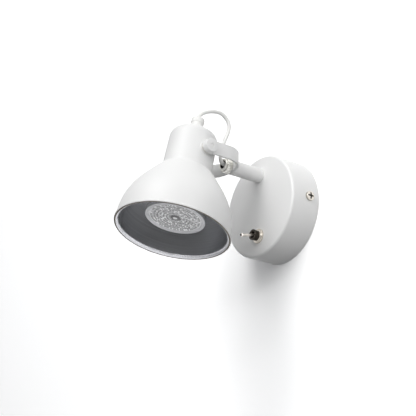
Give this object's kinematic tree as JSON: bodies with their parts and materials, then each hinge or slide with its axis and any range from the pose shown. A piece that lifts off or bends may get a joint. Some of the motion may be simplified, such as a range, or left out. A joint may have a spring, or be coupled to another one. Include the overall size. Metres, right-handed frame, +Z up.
{
  "type": "pivoting spotlight wall light",
  "caption": "White wall spotlight: round rose with a toggle switch, straight arm, swivelling yoke and a tilting bell-shaped head with a reflector lamp and a looped cord.",
  "frame": {"origin": "centre of the round rose's back, on the wall's face", "axes": "+Z up, -Y out of the wall along the arm, +X to the right of someone who faces the wall"},
  "size_m": [0.0956, 0.1646, 0.1309],
  "materials": {
    "white_paint": "satin",
    "nickel": "polished",
    "zinc_steel": "satin",
    "brass": "satin",
    "white_plastic": "matte",
    "grey_plastic": "matte",
    "black_plastic": "gloss",
    "cord_white": "matte",
    "ceramic_white": "matte",
    "lamp_metal": "satin",
    "lens_clear": "clear"
  },
  "bodies": {
    "wall": {"rose_cover": "white_paint", "wall_bracket": "zinc_steel", "side_screws": "nickel", "earth_screw": "brass", "terminal_block": "white_plastic", "terminal_screws": "zinc_steel", "arm_tube": "white_paint", "nipple": "nickel", "rear_washer": "zinc_steel", "rear_nut": "zinc_steel", "arm_washer": "white_plastic", "web_washer": "nickel", "ring_nut": "nickel", "nipple_bush": "black_plastic", "switch_bushing": "nickel", "switch_base_nut": "nickel", "switch_dress_nut": "nickel", "switch_back_nut": "zinc_steel", "switch_body": "grey_plastic", "inner_cord": "cord_white"},
    "lever": {"switch_lever": "nickel"},
    "yoke": {"yoke_bracket": "white_paint", "pivot_screws": "white_paint", "pivot_nuts": "zinc_steel", "cord": "cord_white"},
    "head": {"shade": "white_paint", "pivot_spacers": "nickel", "gland_body": "white_plastic", "gland_cap": "white_plastic", "gland_nut": "zinc_steel", "holder_strap": "zinc_steel", "holder_screws": "zinc_steel", "lampholder": "ceramic_white", "lamp_pins": "brass", "lamp_body": "lamp_metal", "lamp_ring": "lamp_metal", "lamp_lens": "lens_clear", "head_cord": "cord_white"}
  },
  "joints": [
    {"name": "yoke_swivel", "type": "hinge", "parent": "wall", "child": "yoke", "pos_m": [0, -0.0607, 0.0282], "axis": [0, 1, 0], "range_deg": [-90, 90]},
    {"name": "head_tilt", "type": "hinge", "parent": "yoke", "child": "head", "pos_m": [0, -0.0999, 0.0282], "axis": [-1, 0, 0], "range_deg": [-14, 45], "deforming": ["cord"]},
    {"name": "switch_toggle", "type": "hinge", "parent": "wall", "child": "lever", "pos_m": [0, -0.0322, -0.0273], "axis": [-1, 0, 0], "range_deg": [0, 22]}
  ]
}
